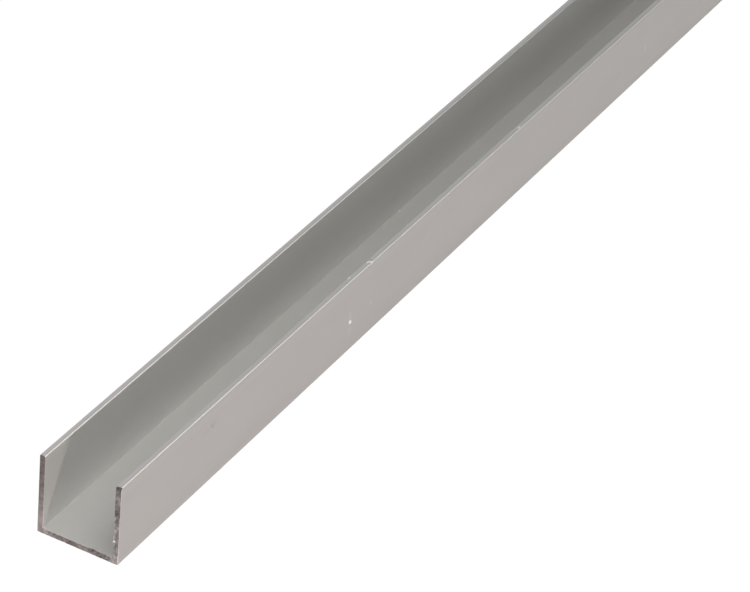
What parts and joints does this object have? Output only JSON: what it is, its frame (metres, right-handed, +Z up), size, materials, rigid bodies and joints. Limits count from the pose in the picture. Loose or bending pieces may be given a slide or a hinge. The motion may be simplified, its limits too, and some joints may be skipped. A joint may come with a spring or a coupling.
{
  "type": "aluminium u channel",
  "caption": "Straight length of thin-walled aluminium U-channel with equal flanges, satin anodised and sawn square at both ends, for edging panels, guiding slides or framing.",
  "frame": {"origin": "middle of the web's underside, at half the length", "axes": "+Z up out of the groove's open side, Y along the length, X across the section"},
  "size_m": [0.015, 1, 0.015],
  "materials": {
    "anodised_aluminium": "satin natural anodised, bare sawn ends"
  },
  "bodies": {
    "root": {"u_channel": "anodised_aluminium"}
  },
  "joints": []
}
